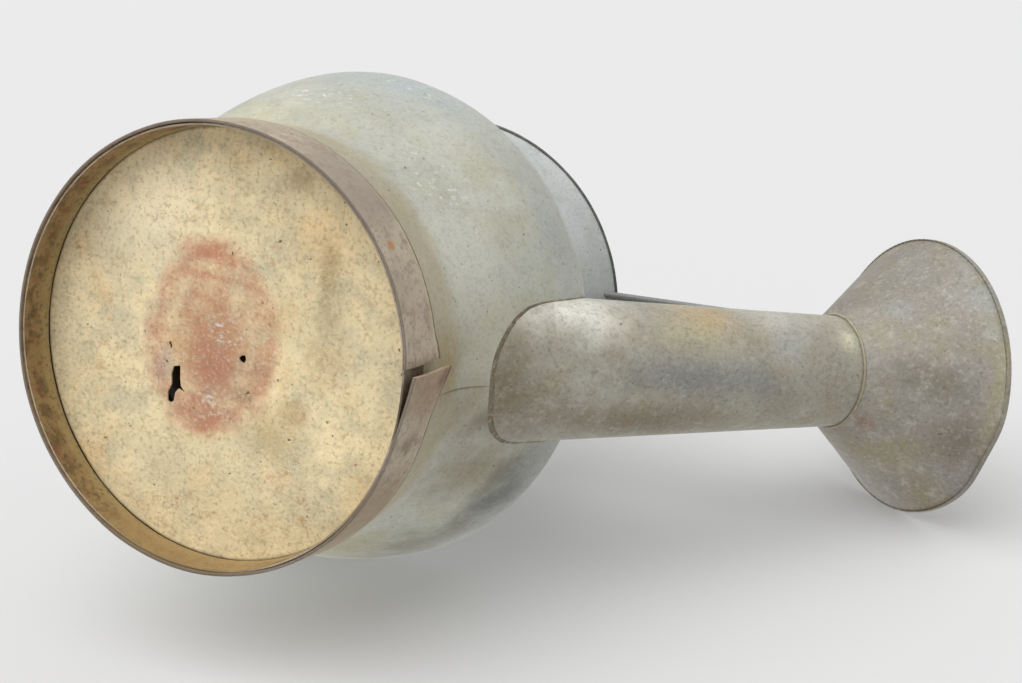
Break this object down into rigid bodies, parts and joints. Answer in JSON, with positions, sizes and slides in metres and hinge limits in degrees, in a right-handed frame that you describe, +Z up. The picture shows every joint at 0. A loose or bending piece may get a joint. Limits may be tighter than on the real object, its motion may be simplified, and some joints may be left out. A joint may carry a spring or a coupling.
{
  "type": "watering can",
  "caption": "Old bulged sheet-metal watering can with an iron foot hoop, flared wired mouth, wide spout with a large rose, a flat stay and a tubular handle.",
  "frame": {"origin": "centre of the foot hoop's lower edge, in the plane that the can stands on", "axes": "+Z up along the can's own axis, +X from the axis towards the spout, +Y to the left of the spout"},
  "size_m": [0.5293, 0.2538, 0.3823],
  "materials": {
    "rusty_iron": "rusted and matt",
    "crusted_bottom": "tan lime and rust crust, matt",
    "body_zinc": "weathered zinc coating, matt",
    "upper_zinc": "weathered zinc coating, matt",
    "spout_zinc": "weathered zinc coating with rust stains, matt",
    "rose_zinc": "pitted zinc coating, matt"
  },
  "bodies": {
    "root": {"foot_hoop": "rusty_iron", "bottom": "crusted_bottom", "body": "body_zinc", "shoulder": "upper_zinc", "collar": "upper_zinc", "rim_wire": "rusty_iron", "hood": "upper_zinc", "spout": "spout_zinc", "rose_cone": "rose_zinc", "rose_face": "rose_zinc", "stay": "spout_zinc", "handle": "body_zinc", "handle_front_plate": "upper_zinc", "handle_back_plate": "body_zinc"}
  },
  "joints": []
}
